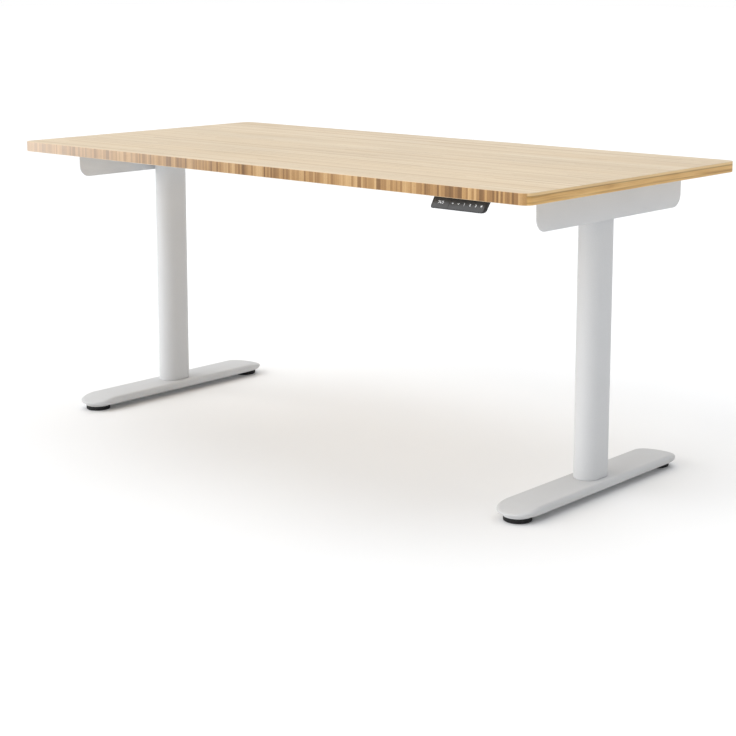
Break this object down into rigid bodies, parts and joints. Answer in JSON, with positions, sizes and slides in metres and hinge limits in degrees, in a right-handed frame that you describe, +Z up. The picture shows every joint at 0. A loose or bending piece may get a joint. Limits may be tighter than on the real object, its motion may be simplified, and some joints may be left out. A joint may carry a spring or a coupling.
{
  "type": "height adjustable standing desk",
  "caption": "Rectangular bamboo worktop on motorised telescopic oval columns with T feet, levelling glides, side brackets, control box and touch handset; raises and lowers.",
  "frame": {"origin": "on the floor, midway between the feet and under the middle of the worktop", "axes": "+X to the user's right along the worktop, +Y away from the user, +Z up"},
  "size_m": [1.6, 0.8, 0.711],
  "materials": {
    "bamboo": "satin lacquer",
    "powder_coat": "fine matt powder coat",
    "rubber": "matt",
    "zinc": "zinc plated",
    "steel": "ground",
    "cast_alloy": "die cast",
    "black_paint": "satin",
    "black_plastic": "fine texture",
    "gloss_black": "gloss",
    "grey_plastic": "fine texture",
    "white_plastic": "smooth",
    "circuit_board": "solder mask"
  },
  "bodies": {
    "left_base": {"left_foot": "powder_coat", "left_column_plate": "zinc", "left_outer_tube": "powder_coat", "left_guide_collar": "grey_plastic", "left_push_tube": "zinc", "left_lead_nut": "white_plastic"},
    "carriage": {"desktop": "bamboo", "front_rail": "powder_coat", "rear_rail": "powder_coat", "control_box_plate": "black_plastic", "control_box_cover": "black_plastic", "control_board": "circuit_board", "mains_inlet": "black_plastic", "handset_housing": "black_plastic", "handset_display": "gloss_black", "handset_touch_panel": "gloss_black", "left_handset_screw": "zinc", "right_handset_screw": "zinc", "left_motor_lead": "black_plastic", "right_motor_lead": "black_plastic", "handset_lead": "black_plastic", "left_inner_tube": "powder_coat", "left_slide_bush": "white_plastic", "left_drive_housing": "powder_coat", "left_gearbox_case": "cast_alloy", "left_gearbox_cover": "cast_alloy", "left_motor": "black_paint", "left_side_bracket": "powder_coat", "front_left_top_screw": "zinc", "rear_left_top_screw": "zinc", "right_inner_tube": "powder_coat", "right_slide_bush": "white_plastic", "right_drive_housing": "powder_coat", "right_gearbox_case": "cast_alloy", "right_gearbox_cover": "cast_alloy", "right_motor": "black_paint", "right_side_bracket": "powder_coat", "front_right_top_screw": "zinc", "rear_right_top_screw": "zinc"},
    "right_base": {"right_foot": "powder_coat", "right_column_plate": "zinc", "right_outer_tube": "powder_coat", "right_guide_collar": "grey_plastic", "right_push_tube": "zinc", "right_lead_nut": "white_plastic"},
    "left_spindle": {"left_lead_screw": "steel", "left_worm_wheel": "white_plastic"},
    "left_worm": {"left_motor_worm": "steel"},
    "right_spindle": {"right_lead_screw": "steel", "right_worm_wheel": "white_plastic"},
    "right_worm": {"right_motor_worm": "steel"},
    "front_left_glide": {"front_left_glide_pad": "rubber"},
    "front_left_stud": {"front_left_glide_stud": "zinc"},
    "front_right_glide": {"front_right_glide_pad": "rubber"},
    "front_right_stud": {"front_right_glide_stud": "zinc"},
    "rear_left_glide": {"rear_left_glide_pad": "rubber"},
    "rear_left_stud": {"rear_left_glide_stud": "zinc"},
    "rear_right_glide": {"rear_right_glide_pad": "rubber"},
    "rear_right_stud": {"rear_right_glide_stud": "zinc"}
  },
  "joints": [
    {"name": "lift", "type": "slide", "parent": "left_base", "child": "carriage", "axis": [0, 0, 1], "range_m": [0, 0.5]},
    {"name": "right_column_slide", "type": "slide", "parent": "carriage", "child": "right_base", "axis": [0, 0, -1], "range_m": [0, 0.5]},
    {"name": "left_spindle_turn", "type": "hinge", "parent": "carriage", "child": "left_spindle", "pos_m": [-0.69, 0, 0.3], "axis": [0, 0, 1], "range_deg": [0, 11250]},
    {"name": "left_worm_turn", "type": "hinge", "parent": "carriage", "child": "left_worm", "pos_m": [-0.665, 0, 0.659], "axis": [0, 1, 0], "range_deg": [-225000, 0]},
    {"name": "right_spindle_turn", "type": "hinge", "parent": "carriage", "child": "right_spindle", "pos_m": [0.69, 0, 0.3], "axis": [0, 0, 1], "range_deg": [0, 11250]},
    {"name": "right_worm_turn", "type": "hinge", "parent": "carriage", "child": "right_worm", "pos_m": [0.665, 0, 0.659], "axis": [0, 1, 0], "range_deg": [0, 225000]},
    {"name": "front_left_glide_level", "type": "slide", "parent": "left_base", "child": "front_left_glide", "axis": [0, 0, -1], "range_m": [0, 0.008]},
    {"name": "front_left_stud_turn", "type": "hinge", "parent": "front_left_glide", "child": "front_left_stud", "pos_m": [-0.69, -0.268, 0.01], "axis": [0, 0, -1], "range_deg": [0, 2304]},
    {"name": "front_right_glide_level", "type": "slide", "parent": "right_base", "child": "front_right_glide", "axis": [0, 0, -1], "range_m": [0, 0.008]},
    {"name": "front_right_stud_turn", "type": "hinge", "parent": "front_right_glide", "child": "front_right_stud", "pos_m": [0.69, -0.268, 0.01], "axis": [0, 0, -1], "range_deg": [0, 2304]},
    {"name": "rear_left_glide_level", "type": "slide", "parent": "left_base", "child": "rear_left_glide", "axis": [0, 0, -1], "range_m": [0, 0.008]},
    {"name": "rear_left_stud_turn", "type": "hinge", "parent": "rear_left_glide", "child": "rear_left_stud", "pos_m": [-0.69, 0.268, 0.01], "axis": [0, 0, -1], "range_deg": [0, 2304]},
    {"name": "rear_right_glide_level", "type": "slide", "parent": "right_base", "child": "rear_right_glide", "axis": [0, 0, -1], "range_m": [0, 0.008]},
    {"name": "rear_right_stud_turn", "type": "hinge", "parent": "rear_right_glide", "child": "rear_right_stud", "pos_m": [0.69, 0.268, 0.01], "axis": [0, 0, -1], "range_deg": [0, 2304]}
  ],
  "couplings": [
    {"joint": "right_column_slide", "follows": "lift", "ratio": 1},
    {"joint": "left_spindle_turn", "follows": "lift", "rad_per_m": 392.7},
    {"joint": "left_worm_turn", "follows": "lift", "rad_per_m": -7854},
    {"joint": "right_spindle_turn", "follows": "lift", "rad_per_m": 392.7},
    {"joint": "right_worm_turn", "follows": "lift", "rad_per_m": 7854},
    {"joint": "front_left_stud_turn", "follows": "front_left_glide_level", "rad_per_m": 5026.5},
    {"joint": "front_right_stud_turn", "follows": "front_right_glide_level", "rad_per_m": 5026.5},
    {"joint": "rear_left_stud_turn", "follows": "rear_left_glide_level", "rad_per_m": 5026.5},
    {"joint": "rear_right_stud_turn", "follows": "rear_right_glide_level", "rad_per_m": 5026.5}
  ]
}
